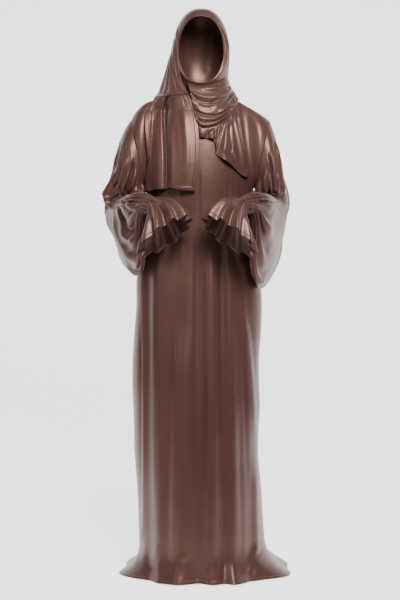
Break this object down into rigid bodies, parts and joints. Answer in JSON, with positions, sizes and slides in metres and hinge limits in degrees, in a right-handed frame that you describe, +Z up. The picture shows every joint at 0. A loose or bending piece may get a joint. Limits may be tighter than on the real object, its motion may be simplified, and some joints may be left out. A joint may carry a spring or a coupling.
{
  "type": "prayer dress",
  "caption": "Floor-length satin prayer dress with gathered bishop sleeves, ruffled cuffs and an attached wrapped head scarf, hollow as if worn.",
  "frame": {"origin": "middle of the back neckline of the dress, where the wearer's neck and shoulders carry the garment", "axes": "+Z up the wearer, -Y the way the wearer faces, +X towards the wearer's left arm"},
  "size_m": [0.5534, 0.6, 1.6811],
  "materials": {
    "satin": "soft satin with a silky sheen"
  },
  "bodies": {
    "root": {"dress_front": "satin", "dress_back": "satin", "sleeve_right": "satin", "sleeve_left": "satin", "wrist_band_right": "satin", "wrist_band_left": "satin", "cuff_ruffle_right": "satin", "cuff_ruffle_left": "satin", "hood": "satin", "scarf_drop": "satin", "scarf_flounce": "satin", "neck_wrap_upper": "satin", "neck_wrap_lower": "satin", "scarf_end": "satin", "scarf_back": "satin"}
  },
  "joints": []
}
